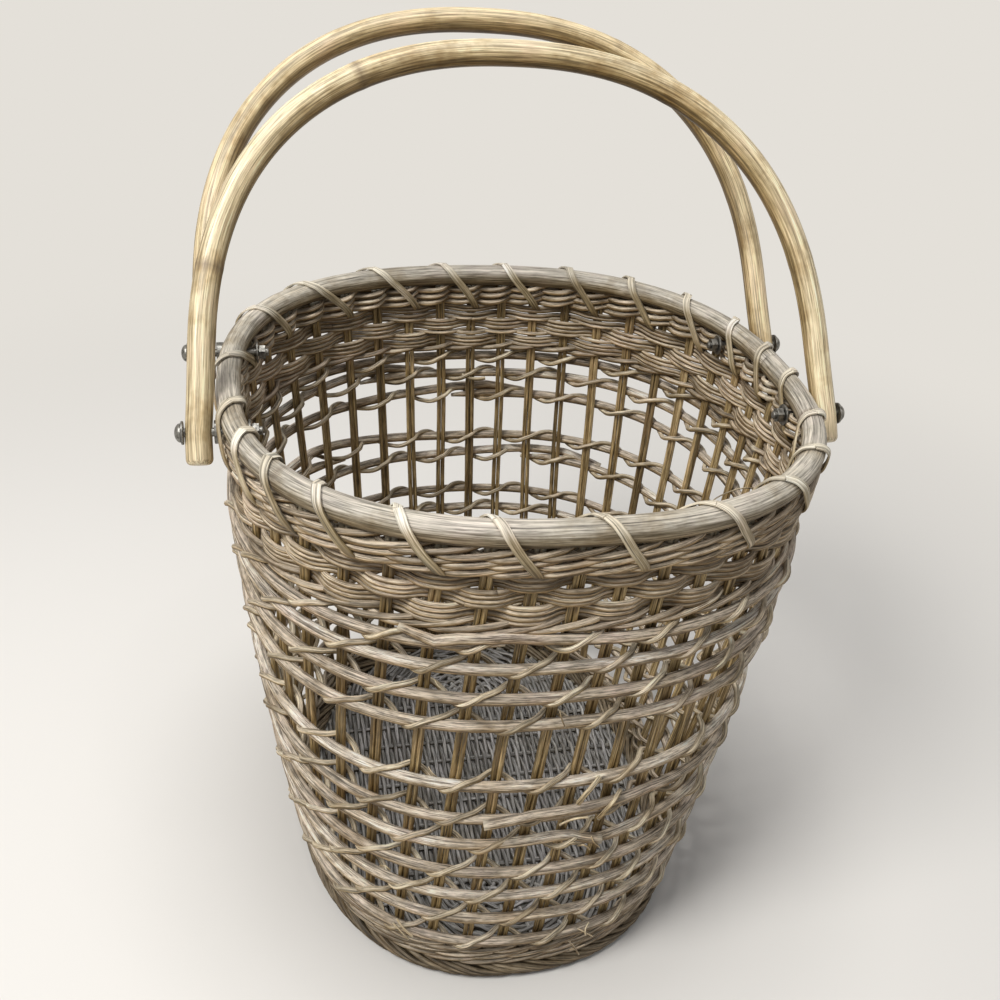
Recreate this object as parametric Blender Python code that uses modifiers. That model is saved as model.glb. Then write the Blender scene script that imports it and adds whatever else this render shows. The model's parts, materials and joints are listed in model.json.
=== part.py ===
"""Wicker market basket with two bent swing handles.

An open wall of paired stakes stands on a woven oval foot. Round hoops run round its outside, a woven band
closes its top, and a pole rim is lashed on. Each handle is a bent pole that turns on two bolts through the
wall, close under the rim.

Metres, +Z up. The origin is the middle of the foot, on the floor. X runs along the handle bolts, and -Y is
the front.
"""
import math

import bmesh
import bpy
from mathutils import Vector

MM = 0.001
UP = Vector((0, 0, 1))

# Plan of the wall, to the middle of the stakes
MOUTH_WIDTH = 418 * MM
MOUTH_DEPTH = 394 * MM
MOUTH_SQUARENESS = 2.45     # exponent of the oval; 2 is an ellipse
FOOT_WIDTH = 316 * MM
FOOT_DEPTH = 394 * MM
FOOT_SQUARENESS = 2.3
SIDE_SWELL = 0.65           # how much the sides bow out between foot and mouth
RIM_HEIGHT = 435 * MM       # middle of the rim pole over the floor

# Stakes
STAKE_PAIRS = 44
STAKE_DIAMETER = 3.6 * MM
STAKE_LEAN = 6.5            # degrees that a stake's foot lies round from its top
STAKE_BENDS = (0.437 * RIM_HEIGHT, 0.805 * RIM_HEIGHT)
STAKE_PANELS = ("right", "rear_right", "rear", "rear_left", "left", "front_left", "front", "front_right")

# Rim, weave and hoops
RIM_DIAMETER = 16 * MM
LASHING_WIDTH = 6.5 * MM
LASHING_THICKNESS = 1.2 * MM
LASHING_RUNNER_DIAMETER = 2.6 * MM
WALE_DIAMETER = 5.5 * MM
INNER_WALE_DIAMETER = 4.5 * MM
WEAVER_THICKNESS = 3 * MM
WEAVE_ROW_HEIGHT = 9.8 * MM
WEAVE_ROW_NAMES = ("weave_row_upper", "weave_row_middle", "weave_row_lower")
LOWER_WALE_GAP = 2.6 * MM   # under the lowest weave row
HOOP_DIAMETER = 7.5 * MM
# Heights of the hoops as shares of the height of the wale under the weave rows
HOOP_SHARES = (0.957, 0.906, 0.841, 0.745, 0.638, 0.5365, 0.467, 0.375, 0.299, 0.2235, 0.149)
# How far each hoop climbs from the sides to the rear, and falls to the front; they were tied on by hand
HOOP_TILTS = tuple(tilt * MM for tilt in (0, 1.5, 3.5, -7.5, 11.5, 7, 10.5, 7.5, 6.5, 6.5, 8))

# Foot and base
BORDER_HEIGHT = 18 * MM
BORDER_WIDTH = 20 * MM
BORDER_ROUNDING = 5 * MM
BORDER_FACETS = 6           # in each panel
STAKE_ROOT = 4 * MM         # how deep a stake is bent into the border
BOTTOM_WALE_COUNT = 2
BOTTOM_WALE_DIAMETER = 7 * MM
BASE_WEAVE_THICKNESS = 3 * MM
BASE_STICK_DIAMETER = 4.4 * MM
CROSS_STICK_COUNT = 9
CROSS_STICK_SPACING = 30 * MM
LONG_STICK_COUNT = 3
LONG_STICK_SPACING = 26 * MM
LONG_STICK_DIAMETER = 4 * MM

# Handles and their bolts
HANDLE_DIAMETER = 18.5 * MM
HANDLE_RISE = 265 * MM      # bolt to the middle of the pole at the top
HANDLE_LEG = 50 * MM        # nearly straight length above the bolt
HANDLE_FOOT = 22 * MM       # pole left below the bolt
HANDLE_SPLAY = 8 * MM       # how far each leg stands out at the bolt
HANDLE_SQUARENESS = 2.3
HANDLE_LEAN = 35            # degrees back from upright
FRONT_HANDLE_GAP = -2       # gap between stake pairs, counted from the right-hand pair
REAR_HANDLE_GAP = 2
BOLT_DIAMETER = 6 * MM
BOLT_HEAD_DIAMETER = 13 * MM
BOLT_HEAD_HEIGHT = 4 * MM
WASHER_DIAMETER = 16 * MM
WASHER_THICKNESS = 1.6 * MM
PACKING_THICKNESS = 1.5 * MM
NUT_ACROSS_CORNERS = 11.5 * MM
NUT_HEIGHT = 5 * MM
BOLT_END = 2.5 * MM

# Clearances
FIT = 0.4 * MM
TURNING_FIT = 0.5 * MM
MERGE_DISTANCE = 0.01 * MM

# Facets
TUBE_4, TUBE_6, TUBE_8 = 0, 1, 2    # bevel_resolution of a tube with that many sides
TURNED_STEPS = 8
NUT_SIDES = 6
ARCH_STEPS = 22
SHARP_ANGLE = 35            # degrees

# Colours
WEATHERED_CANE = (0.42, 0.35, 0.27)
STAKE_BROWN = (0.40, 0.25, 0.12)
RIM_TAN = (0.60, 0.52, 0.41)
LASHING_PALE = (0.66, 0.58, 0.45)
BASE_GREY = (0.27, 0.25, 0.23)
POLE_GOLD = (0.62, 0.46, 0.26)
BRIGHT_STEEL = (0.66, 0.66, 0.68)
CANE_ROUGHNESS = 0.7
POLE_ROUGHNESS = 0.5
STEEL_ROUGHNESS = 0.3

STAKE_RADIUS = STAKE_DIAMETER / 2
STAKE_SPACING = STAKE_DIAMETER + FIT
PAIR_ANGLE = 2 * math.pi / STAKE_PAIRS
TIGHTEST_BEND = 1.6         # corner of the oval against a circle as wide
RIM_RADIUS = RIM_DIAMETER / 2
BOLT_HEIGHT = RIM_HEIGHT - RIM_RADIUS - FIT - BOLT_DIAMETER / 2 - FIT
STAKE_TOP = BOLT_HEIGHT - BOLT_DIAMETER / 2 - 2 * FIT


def start_scene():
    for item in list(bpy.data.objects):
        bpy.data.objects.remove(item, do_unlink=True)
    for name in ("wicker_market_basket", "cutters"):
        collection = bpy.data.collections.get(name) or bpy.data.collections.new(name)
        if name not in bpy.context.scene.collection.children:
            bpy.context.scene.collection.children.link(collection)


def link(item, collection="wicker_market_basket"):
    bpy.data.collections[collection].objects.link(item)
    return item


def material(name, colour, roughness=CANE_ROUGHNESS, metallic=0.0):
    made = bpy.data.materials.get(name)
    if made is None:
        made = bpy.data.materials.new(name)
        made.use_nodes = True
        shader = made.node_tree.nodes["Principled BSDF"]
        shader.inputs["Base Color"].default_value = (*colour, 1)
        shader.inputs["Roughness"].default_value = roughness
        shader.inputs["Metallic"].default_value = metallic
    return made


def oval(angle, half_width, half_depth, squareness):
    """Point of the oval in the direction of the angle."""
    across, along = math.cos(angle), math.sin(angle)
    size = abs(across / half_width) ** squareness + abs(along / half_depth) ** squareness
    return Vector((across, along, 0)) * size ** (-1 / squareness)


def wall(angle, height, out=0.0):
    """Point on the surface through the stakes, or that far outside it."""
    share = height / RIM_HEIGHT
    swell = share + SIDE_SWELL * share * (1 - share)
    half_width = (FOOT_WIDTH + (MOUTH_WIDTH - FOOT_WIDTH) * swell) / 2 + out
    half_depth = (FOOT_DEPTH + (MOUTH_DEPTH - FOOT_DEPTH) * swell) / 2 + out
    squareness = FOOT_SQUARENESS + (MOUTH_SQUARENESS - FOOT_SQUARENESS) * share
    return oval(angle, half_width, half_depth, squareness) + UP * height


def wall_side(y):
    """Half width of the mouth at the depth y."""
    share = 1 - abs(2 * y / MOUTH_DEPTH) ** MOUTH_SQUARENESS
    return MOUTH_WIDTH / 2 * share ** (1 / MOUTH_SQUARENESS)


def along_wall(angle, height):
    """Level unit vector that runs along the wall, and the one that points out of it."""
    step = 0.001
    run = (wall(angle + step, height) - wall(angle - step, height)).normalized()
    return run, Vector((run.y, -run.x, 0))


def pair_angle(pair, height):
    """Direction of a stake pair, or of a gap when the number ends in a half."""
    lean = math.radians(STAKE_LEAN) * (1 - height / RIM_HEIGHT)
    return pair * PAIR_ANGLE - lean


def bend_allowance(reach):
    """How far a ring's facet falls in towards the stakes at that distance from its corner."""
    return reach * math.tan(math.pi / STAKE_PAIRS) * TIGHTEST_BEND


def outside(radius):
    """How far outside the stakes the middle of a ring with that section radius runs."""
    return STAKE_RADIUS + FIT + bend_allowance(STAKE_SPACING / 2 + STAKE_RADIUS) + radius


def tube(name, runs, radius, resolution, closed=False):
    """A curve object with one POLY spline for each run of points."""
    curve = bpy.data.curves.new(name, "CURVE")
    curve.dimensions = "3D"
    curve.bevel_depth = radius
    curve.bevel_resolution = resolution
    curve.use_fill_caps = True
    for points in runs:
        spline = curve.splines.new("POLY")
        spline.points.add(len(points) - 1)
        spline.use_cyclic_u = closed
        spline.use_smooth = True
        for knot, point in zip(spline.points, points):
            knot.co = (*point, 1)
    return link(bpy.data.objects.new(name, curve))


def ring(name, height, radius, out, tilt=0):
    """A rod that runs once round the wall, cornered at each stake pair; the tilt lifts its rear."""
    levels = [height + tilt * math.sin(pair_angle(pair, height)) for pair in range(STAKE_PAIRS)]
    points = [wall(pair_angle(pair, level), level, out) for pair, level in enumerate(levels)]
    return tube(name, [points], radius, TUBE_4, closed=True)


def mesh_object(name, bm):
    mesh = bpy.data.meshes.new(name)
    bm.to_mesh(mesh)
    bm.free()
    return link(bpy.data.objects.new(name, mesh))


def loop_band(bm, points, run):
    """Joins the points to a closed loop and draws it along the vector to an open band."""
    corners = [bm.verts.new(point) for point in points]
    edges = [bm.edges.new((corner, corners[number - 1])) for number, corner in enumerate(corners)]
    drawn = bmesh.ops.extrude_edge_only(bm, edges=edges)["geom"]
    moved = [item for item in drawn if isinstance(item, bmesh.types.BMVert)]
    bmesh.ops.translate(bm, verts=moved, vec=run)


def solidify(item, thickness):
    thickened = item.modifiers.new("Thickness", "SOLIDIFY")
    thickened.thickness = thickness
    thickened.offset = 0
    thickened.use_even_offset = True


def face_out(bm):
    bmesh.ops.recalc_face_normals(bm, faces=bm.faces)


def finish(item, made):
    item.data.materials.clear()
    item.data.materials.append(made)
    if item.type == "MESH":
        item.data.shade_smooth()
        item.data.set_sharp_from_angle(angle=math.radians(SHARP_ANGLE))
    return item


def stake(pair, half):
    """Route of one rod of a pair, from inside the border to under the rim."""
    rod = []
    for height in (BORDER_HEIGHT - STAKE_ROOT, *STAKE_BENDS, STAKE_TOP):
        angle = pair_angle(pair, height)
        run, _ = along_wall(angle, height)
        rod.append(wall(angle, height) + run * half * STAKE_SPACING)
    return rod


def panel_pairs(number):
    """First stake pair of a panel, and the first one of the next panel."""
    start = -(STAKE_PAIRS // len(STAKE_PANELS) // 2)
    first = start + number * STAKE_PAIRS // len(STAKE_PANELS)
    following = start + (number + 1) * STAKE_PAIRS // len(STAKE_PANELS)
    return first, following


def border_angles(number):
    """Directions of the corners of one panel's stretch of border."""
    first, following = panel_pairs(number)
    gap = FIT / FOOT_WIDTH
    start, end = pair_angle(first - 0.5, 0) + gap, pair_angle(following - 0.5, 0) - gap
    return [start + (end - start) * step / BORDER_FACETS for step in range(BORDER_FACETS + 1)]


def border_stretch(name, angles):
    """Part of the thick border that the basket stands on, flat underneath."""
    half, round_off = BORDER_WIDTH / 2, BORDER_ROUNDING
    section = [(half, 0), (half, BORDER_HEIGHT - round_off), (half - round_off, BORDER_HEIGHT),
               (round_off - half, BORDER_HEIGHT), (-half, BORDER_HEIGHT - round_off), (-half, 0)]
    bm = bmesh.new()
    rings = []
    for angle in angles:
        rings.append([bm.verts.new(wall(angle, 0, out) + UP * height) for out, height in section])
    for here, there in zip(rings, rings[1:]):
        for corner in range(len(section)):
            below = corner - 1
            bm.faces.new((here[below], here[corner], there[corner], there[below]))
    bm.faces.new(rings[0])
    bm.faces.new(rings[-1])
    face_out(bm)
    return mesh_object(name, bm)


def stake_panels():
    """Paired stakes, each group with the stretch of border that its own bent ends make."""
    for number, side in enumerate(STAKE_PANELS):
        rods = [stake(pair, half) for pair in range(*panel_pairs(number)) for half in (-0.5, 0.5)]
        name = f"stake_panel_{side}"
        panel = border_stretch(name, border_angles(number))
        unite(panel, to_mesh_object(tube(f"{name}_rods", rods, STAKE_RADIUS, TUBE_4)))
        finish(panel, material("stake_reed", STAKE_BROWN))


def rim():
    """The pole, with a corner at each gap between stake pairs, where the lashings go over it."""
    points = [wall(pair_angle(pair + 0.5, RIM_HEIGHT), RIM_HEIGHT) for pair in range(STAKE_PAIRS)]
    pole = tube("rim_pole", [points], RIM_RADIUS, TUBE_8, closed=True)
    finish(pole, material("rim_pole", RIM_TAN))


def upper_wale_heights():
    """Middles of the two rows under the bolts."""
    first = STAKE_TOP - WALE_DIAMETER / 2
    return first, first - WALE_DIAMETER - FIT


def lashing_foot():
    """Height at which a lashing crosses under the upper wale."""
    return upper_wale_heights()[1] - WALE_DIAMETER / 2 - FIT - LASHING_RUNNER_DIAMETER / 2


def lashed_gaps():
    """Every second gap between stake pairs, from the middle of the front round each side to the rear."""
    quarter = STAKE_PAIRS // 4
    return [*range(-quarter, quarter - 1, 2), *range(quarter + 1, 3 * quarter - 2, 2)]


def rim_lashing():
    """Flat cane looped over the rim pole and under the upper wale, with the runner between its loops."""
    corner = math.pi / 6
    room = FIT + bend_allowance(LASHING_WIDTH / 2) + LASHING_THICKNESS / 2
    reach = (RIM_RADIUS + room) / math.cos(corner)
    shoulder = RIM_HEIGHT + reach * math.sin(corner)
    inner = reach * math.cos(corner)
    outer = max(inner, outside(WALE_DIAMETER / 2) + WALE_DIAMETER / 2 + room)
    foot = lashing_foot()
    top = (0, RIM_HEIGHT + reach)
    section = [(outer, foot), (outer, shoulder), top, (-inner, shoulder), (-inner, foot)]
    bm = bmesh.new()
    for gap in lashed_gaps():
        angle = pair_angle(gap + 0.5, RIM_HEIGHT)
        run, out = along_wall(angle, RIM_HEIGHT)
        edge = wall(angle, RIM_HEIGHT) - UP * RIM_HEIGHT - run * LASHING_WIDTH / 2
        points = [edge + out * across + UP * height for across, height in section]
        loop_band(bm, points, run * LASHING_WIDTH)
    face_out(bm)
    lashing = mesh_object("rim_lashing", bm)
    solidify(lashing, LASHING_THICKNESS)
    radius = LASHING_RUNNER_DIAMETER / 2
    unite(lashing, to_mesh_object(ring("rim_lashing_runner", foot, radius, outside(radius))))
    finish(lashing, material("lashing_cane", LASHING_PALE))


def woven_row(name, height, phase):
    """A band of weavers that passes outside one stake pair and inside the next."""
    clearance = STAKE_RADIUS + FIT + WEAVER_THICKNESS / 2
    spacing = PAIR_ANGLE * MOUTH_DEPTH / 2
    reach = clearance / (1 - (STAKE_SPACING + STAKE_DIAMETER) / spacing) + bend_allowance(STAKE_SPACING)
    points = []
    for pair in range(STAKE_PAIRS):
        side = reach if (pair + phase) % 2 else -reach
        points.append(wall(pair_angle(pair, height), height, side) - UP * WEAVE_ROW_HEIGHT / 2)
    bm = bmesh.new()
    loop_band(bm, points, UP * WEAVE_ROW_HEIGHT)
    face_out(bm)
    row = mesh_object(name, bm)
    solidify(row, WEAVER_THICKNESS)
    finish(row, material("weathered_cane", WEATHERED_CANE))


def weave_row_heights():
    top = lashing_foot() - LASHING_RUNNER_DIAMETER / 2 - FIT - WEAVE_ROW_HEIGHT / 2
    return [top - number * (WEAVE_ROW_HEIGHT + FIT) for number in range(len(WEAVE_ROW_NAMES))]


def lower_wale_height():
    row_foot = weave_row_heights()[-1] - WEAVE_ROW_HEIGHT / 2
    return row_foot - LOWER_WALE_GAP - WALE_DIAMETER / 2


def bands():
    """The rows that bind the stakes at the top and at the foot."""
    cane = material("weathered_cane", WEATHERED_CANE)
    radius = WALE_DIAMETER / 2
    for number, height in enumerate(upper_wale_heights(), 1):
        finish(ring(f"upper_wale_{number}", height, radius, outside(radius)), cane)
    inner = INNER_WALE_DIAMETER / 2
    inside = -(STAKE_RADIUS + FIT + inner)
    finish(ring("upper_wale_inside", sum(upper_wale_heights()) / 2, inner, inside), cane)
    for phase, (name, height) in enumerate(zip(WEAVE_ROW_NAMES, weave_row_heights())):
        woven_row(name, height, phase)
    finish(ring("lower_wale", lower_wale_height(), radius, outside(radius)), cane)
    radius = BOTTOM_WALE_DIAMETER / 2
    for number in range(BOTTOM_WALE_COUNT):
        height = BORDER_HEIGHT + FIT + radius + number * (BOTTOM_WALE_DIAMETER + FIT)
        finish(ring(f"bottom_wale_{number + 1}", height, radius, outside(radius)), cane)


def side_hoops():
    radius = HOOP_DIAMETER / 2
    for number, (share, tilt) in enumerate(zip(HOOP_SHARES, HOOP_TILTS), 1):
        height = share * lower_wale_height()
        hoop = ring(f"side_hoop_{number:02d}", height, radius, outside(radius), tilt)
        finish(hoop, material("hoop_cane", WEATHERED_CANE))


def base_slab(name, height):
    """One layer of the woven base inside the border, with its underside at the height."""
    inset = -(BORDER_WIDTH / 2 + FIT)
    angles = [angle for number in range(len(STAKE_PANELS)) for angle in border_angles(number)[:-1]]
    bm = bmesh.new()
    lower = bm.faces.new([bm.verts.new(wall(angle, 0, inset) + UP * height) for angle in angles])
    drawn = bmesh.ops.extrude_face_region(bm, geom=[lower])["geom"]
    moved = [item for item in drawn if isinstance(item, bmesh.types.BMVert)]
    bmesh.ops.translate(bm, verts=moved, vec=UP * BASE_WEAVE_THICKNESS)
    face_out(bm)
    finish(mesh_object(name, bm), material("base_cane", BASE_GREY))


def reach_inside_border(aside, across, along):
    """Half length of a base stick that lies that far aside of the middle of the base."""
    edge = (abs(aside) + BASE_STICK_DIAMETER) / (across / 2 - BORDER_WIDTH / 2)
    share = (1 - edge ** FOOT_SQUARENESS) ** (1 / FOOT_SQUARENESS)
    return share * (along / 2 - BORDER_WIDTH / 2) - BASE_STICK_DIAMETER / 2


def spread_out(count, spacing):
    return [(number - (count - 1) / 2) * spacing for number in range(count)]


def base():
    """Crossed sticks between two layers of weave. The long sticks pierce the cross sticks."""
    middle = BASE_WEAVE_THICKNESS + FIT + BASE_STICK_DIAMETER / 2
    base_slab("base_weave_under", 0)
    base_slab("base_weave_upper", middle + BASE_STICK_DIAMETER / 2 + FIT)
    cross_sticks, long_sticks = [], []
    for y in spread_out(CROSS_STICK_COUNT, CROSS_STICK_SPACING):
        half = reach_inside_border(y, FOOT_DEPTH, FOOT_WIDTH)
        cross_sticks.append([Vector((-half, y, middle)), Vector((half, y, middle))])
    for x in spread_out(LONG_STICK_COUNT, LONG_STICK_SPACING):
        half = reach_inside_border(x, FOOT_WIDTH, FOOT_DEPTH)
        long_sticks.append([Vector((x, -half, middle)), Vector((x, half, middle))])
    radius = BASE_STICK_DIAMETER / 2
    slath = to_mesh_object(tube("base_slath", cross_sticks, radius, TUBE_6))
    unite(slath, to_mesh_object(tube("base_long_sticks", long_sticks, LONG_STICK_DIAMETER / 2, TUBE_6)))
    finish(slath, material("base_cane", BASE_GREY))


def pivot_y(gap):
    return wall(pair_angle(gap + 0.5, BOLT_HEIGHT), BOLT_HEIGHT).y


def packed_from(y):
    """Outermost reach of the rim beside a bolt, where the packing washer seats."""
    nearest = max(0, abs(y) - WASHER_DIAMETER / 2)
    return wall_side(nearest) + RIM_RADIUS + FIT


def clamped_from(y):
    """Innermost reach of the rim beside a bolt, where the inner washer seats."""
    furthest = abs(y) + WASHER_DIAMETER / 2
    return wall_side(furthest) - RIM_RADIUS - bend_allowance(WASHER_DIAMETER / 2) - FIT


def handle_half_span():
    """Middle of the pole at the bolt; the wall's widest piece sets it for both handles."""
    hoop_reach = outside(HOOP_DIAMETER / 2) + HOOP_DIAMETER / 2
    beside_wall = MOUTH_WIDTH / 2 + hoop_reach + TURNING_FIT
    beside_packing = packed_from(min(abs(pivot_y(FRONT_HANDLE_GAP)), abs(pivot_y(REAR_HANDLE_GAP))))
    beside_packing += PACKING_THICKNESS + FIT
    return max(beside_wall, beside_packing) + HANDLE_DIAMETER / 2


def handle_spread(height):
    """Half span of the legs at that height over the bolts; they stand out towards their feet."""
    share = min(max(height / HANDLE_RISE, 0), 1)
    return handle_half_span() - HANDLE_SPLAY * (1 - (1 - share) ** 3)


def bent_pole():
    """Route of the pole in its own plane, with the bolts on the X axis."""
    span = handle_half_span()
    leg = [(span, -HANDLE_FOOT), (span, 0), (handle_spread(HANDLE_LEG / 2), HANDLE_LEG / 2)]
    arch = []
    for step in range(ARCH_STEPS + 1):
        turn = math.pi * step / ARCH_STEPS
        height = HANDLE_LEG + (HANDLE_RISE - HANDLE_LEG) * math.sin(turn) ** (2 / HANDLE_SQUARENESS)
        reach = handle_spread(height) * abs(math.cos(turn)) ** (2 / HANDLE_SQUARENESS)
        arch.append((math.copysign(reach, math.cos(turn)), height))
    other_leg = [(-x, height) for x, height in reversed(leg)]
    return [Vector((x, 0, height)) for x, height in leg + arch + other_leg]


def to_mesh_object(curve_object):
    """Turns a tube into a closed mesh object of the same name, so that it can be cut."""
    name = curve_object.name
    evaluated = curve_object.evaluated_get(bpy.context.evaluated_depsgraph_get())
    mesh = bpy.data.meshes.new_from_object(evaluated)
    place = curve_object.matrix_world.copy()
    bpy.data.objects.remove(curve_object, do_unlink=True)
    bm = bmesh.new()
    bm.from_mesh(mesh)
    bmesh.ops.remove_doubles(bm, verts=bm.verts, dist=MERGE_DISTANCE)
    bm.to_mesh(mesh)
    bm.free()
    made = link(bpy.data.objects.new(name, mesh))
    made.matrix_world = place
    return made


def as_cutter(item):
    bpy.data.collections["wicker_market_basket"].objects.unlink(item)
    link(item, "cutters")
    item.hide_render = True
    item.display_type = "WIRE"


def join_shapes(item, other, operation):
    joined = item.modifiers.new(operation.title(), "BOOLEAN")
    joined.operation = operation
    joined.solver = "EXACT"
    joined.object = other
    as_cutter(other)


def unite(item, other):
    join_shapes(item, other, "UNION")


def drill(name, length):
    """A rod the size of a bolt hole, along X."""
    bm = bmesh.new()
    radius = BOLT_DIAMETER / 2 + TURNING_FIT
    bmesh.ops.create_cone(bm, cap_ends=True, segments=TURNED_STEPS, radius1=radius, radius2=radius,
                          depth=length)
    made = mesh_object(name, bm)
    made.rotation_euler = (0, math.pi / 2, 0)
    return made


def handle(name, gap):
    """A bent pole with its origin on the bolt axis, drilled across both feet."""
    pole = to_mesh_object(tube(name, [bent_pole()], HANDLE_DIAMETER / 2, TUBE_8))
    hole = drill(f"{name}_drill", 2 * (handle_half_span() + HANDLE_DIAMETER))
    pole.location = hole.location = (0, pivot_y(gap), BOLT_HEIGHT)
    pole.rotation_euler = (-math.radians(HANDLE_LEAN), 0, 0)
    join_shapes(pole, hole, "DIFFERENCE")
    finish(pole, material("bent_pole", POLE_GOLD, POLE_ROUGHNESS))


def turned(name, profile, side, y, steps=TURNED_STEPS):
    """A turned piece on a bolt axis.

    The profile's (radius, distance from the basket's middle plane) run down the outside of the piece.
    """
    bm = bmesh.new()
    corners = [bm.verts.new((radius, 0, distance)) for radius, distance in profile]
    for here, there in zip(corners, corners[1:]):
        bm.edges.new((here, there))
    if profile[0][0] > 0:
        bm.edges.new((corners[-1], corners[0]))
    piece = mesh_object(name, bm)
    screw = piece.modifiers.new("Turned", "SCREW")
    screw.steps = screw.render_steps = steps
    screw.use_merge_vertices = True
    screw.merge_threshold = MERGE_DISTANCE
    piece.location = (0, y, BOLT_HEIGHT)
    piece.rotation_euler = (0, side * math.pi / 2, 0)
    finish(piece, material("bright_steel", BRIGHT_STEEL, STEEL_ROUGHNESS, 1.0))


def collar(hole, edge, start, thickness):
    """Profile of a ring with that hole and outer radius."""
    return [(edge, start + thickness), (edge, start), (hole, start), (hole, start + thickness)]


def fasteners(name, gap):
    """The two bolts of one handle, each with its washers, packing washer and nut."""
    y = pivot_y(gap)
    pole_outer = handle_half_span() + HANDLE_DIAMETER / 2 + FIT
    pole_inner = handle_spread(WASHER_DIAMETER / 2) - HANDLE_DIAMETER / 2 - FIT
    head = pole_outer + WASHER_THICKNESS + FIT
    shoulder, top = head + BOLT_HEAD_HEIGHT / 2, head + BOLT_HEAD_HEIGHT
    packing = packed_from(y)
    clamp = clamped_from(y) - WASHER_THICKNESS
    nut = clamp - FIT - NUT_HEIGHT
    shank, crown = BOLT_DIAMETER / 2, BOLT_HEAD_DIAMETER / 2
    tip = nut - BOLT_END
    bolt = [(0, top), (crown / 2, top), (crown, shoulder), (crown, head)]
    bolt += [(shank, head), (shank, tip), (0, tip)]
    washer_hole, washer_edge = shank + FIT, WASHER_DIAMETER / 2
    nut_hole = (shank + FIT / 2) / math.cos(math.pi / NUT_SIDES)
    nut_ring = collar(nut_hole, NUT_ACROSS_CORNERS / 2, nut, NUT_HEIGHT)
    outer_washer = collar(washer_hole, washer_edge, pole_outer, WASHER_THICKNESS)
    packing_washer = collar(washer_hole, washer_edge, packing, pole_inner - packing)
    inner_washer = collar(washer_hole, washer_edge, clamp, WASHER_THICKNESS)
    for side, where in ((-1, f"{name}_left"), (1, f"{name}_right")):
        turned(f"bolt_{where}", bolt, side, y)
        turned(f"outer_washer_{where}", outer_washer, side, y)
        turned(f"packing_washer_{where}", packing_washer, side, y)
        turned(f"inner_washer_{where}", inner_washer, side, y)
        turned(f"nut_{where}", nut_ring, side, y, NUT_SIDES)


def main():
    start_scene()
    stake_panels()
    base()
    bands()
    side_hoops()
    rim()
    rim_lashing()
    for name, gap in (("front", FRONT_HANDLE_GAP), ("rear", REAR_HANDLE_GAP)):
        handle(f"handle_{name}", gap)
        fasteners(name, gap)


main()
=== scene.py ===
"""Wicker market basket: canes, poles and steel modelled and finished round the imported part."""
import json
import math

import bmesh
import bpy
import numpy as np
from bpy.props import FloatProperty, FloatVectorProperty, IntProperty, PointerProperty
from mathutils import Matrix, Vector


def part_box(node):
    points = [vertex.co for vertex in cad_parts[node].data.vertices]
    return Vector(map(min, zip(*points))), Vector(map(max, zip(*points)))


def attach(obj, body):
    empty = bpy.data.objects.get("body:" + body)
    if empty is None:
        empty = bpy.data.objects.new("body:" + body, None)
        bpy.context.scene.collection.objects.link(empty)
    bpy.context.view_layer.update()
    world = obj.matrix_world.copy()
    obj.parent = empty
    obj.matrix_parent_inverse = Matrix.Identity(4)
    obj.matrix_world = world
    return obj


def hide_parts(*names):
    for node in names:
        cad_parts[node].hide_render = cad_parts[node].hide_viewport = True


bl_info = {
    "name": "Wicker market basket",
    "version": (1, 0, 0),
    "blender": (4, 5, 0),
    "location": "View3D > Sidebar > Basket",
    "description": "Builds the canes, poles, bolts and finishes of a wicker market basket",
    "category": "Object",
}

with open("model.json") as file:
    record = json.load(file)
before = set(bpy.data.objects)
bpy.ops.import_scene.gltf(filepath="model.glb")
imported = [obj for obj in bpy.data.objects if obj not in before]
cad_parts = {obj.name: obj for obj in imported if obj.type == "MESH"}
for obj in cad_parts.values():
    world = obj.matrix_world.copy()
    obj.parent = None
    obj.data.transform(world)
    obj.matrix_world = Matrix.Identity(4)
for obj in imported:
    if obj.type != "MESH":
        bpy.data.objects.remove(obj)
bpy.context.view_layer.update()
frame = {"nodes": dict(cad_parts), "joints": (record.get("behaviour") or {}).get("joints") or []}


def node_level(name):
    """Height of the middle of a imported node."""
    low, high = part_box(name)
    return (low.z + high.z) / 2


MM = 0.001
TURN = 2 * math.pi
MERGE_DISTANCE = 0.001 * MM

# Plan of the wall through the middle of the stakes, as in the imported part
RIM_HEIGHT = node_level("rim_pole")
FOOT_HALF = (158 * MM, 197 * MM)
MOUTH_HALF = (209 * MM, 197 * MM)
FOOT_SQUARENESS, MOUTH_SQUARENESS = 2.3, 2.45
SIDE_SWELL = 0.65
PAIRS = 44
PAIR_SPACING = 28 * MM
STAKE_ENDS = (12 * MM, 425 * MM)
STAKE_LEAN = math.radians(6.5)
# How far each hoop climbs to the rear, and the stake pair (odd or even) that its first tie crosses
HOOP_TILTS = [tilt * MM for tilt in (0, 1.5, 3.5, -7.5, 11.5, 7, 10.5, 7.5, 6.5, 6.5, 8)]
TIE_PAIRS = (1, 0, 1, 0, 1, 1, 0, 1, 0, 1, 0)


def linear(code):
    """Linear colour of an sRGB hex code."""
    shares = [int(code[place:place + 2], 16) / 255 for place in (1, 3, 5)]
    return [share / 12.92 if share <= 0.04045 else ((share + 0.055) / 1.055) ** 2.4 for share in shares]


def length(name, description, millimetres):
    return FloatProperty(name=name, description=description, default=millimetres * MM, min=0.1 * MM,
                         unit="LENGTH", subtype="DISTANCE")


def colour(name, description, code):
    return FloatVectorProperty(name=name, description=description, default=linear(code), size=3,
                               min=0, max=1, subtype="COLOR")


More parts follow.
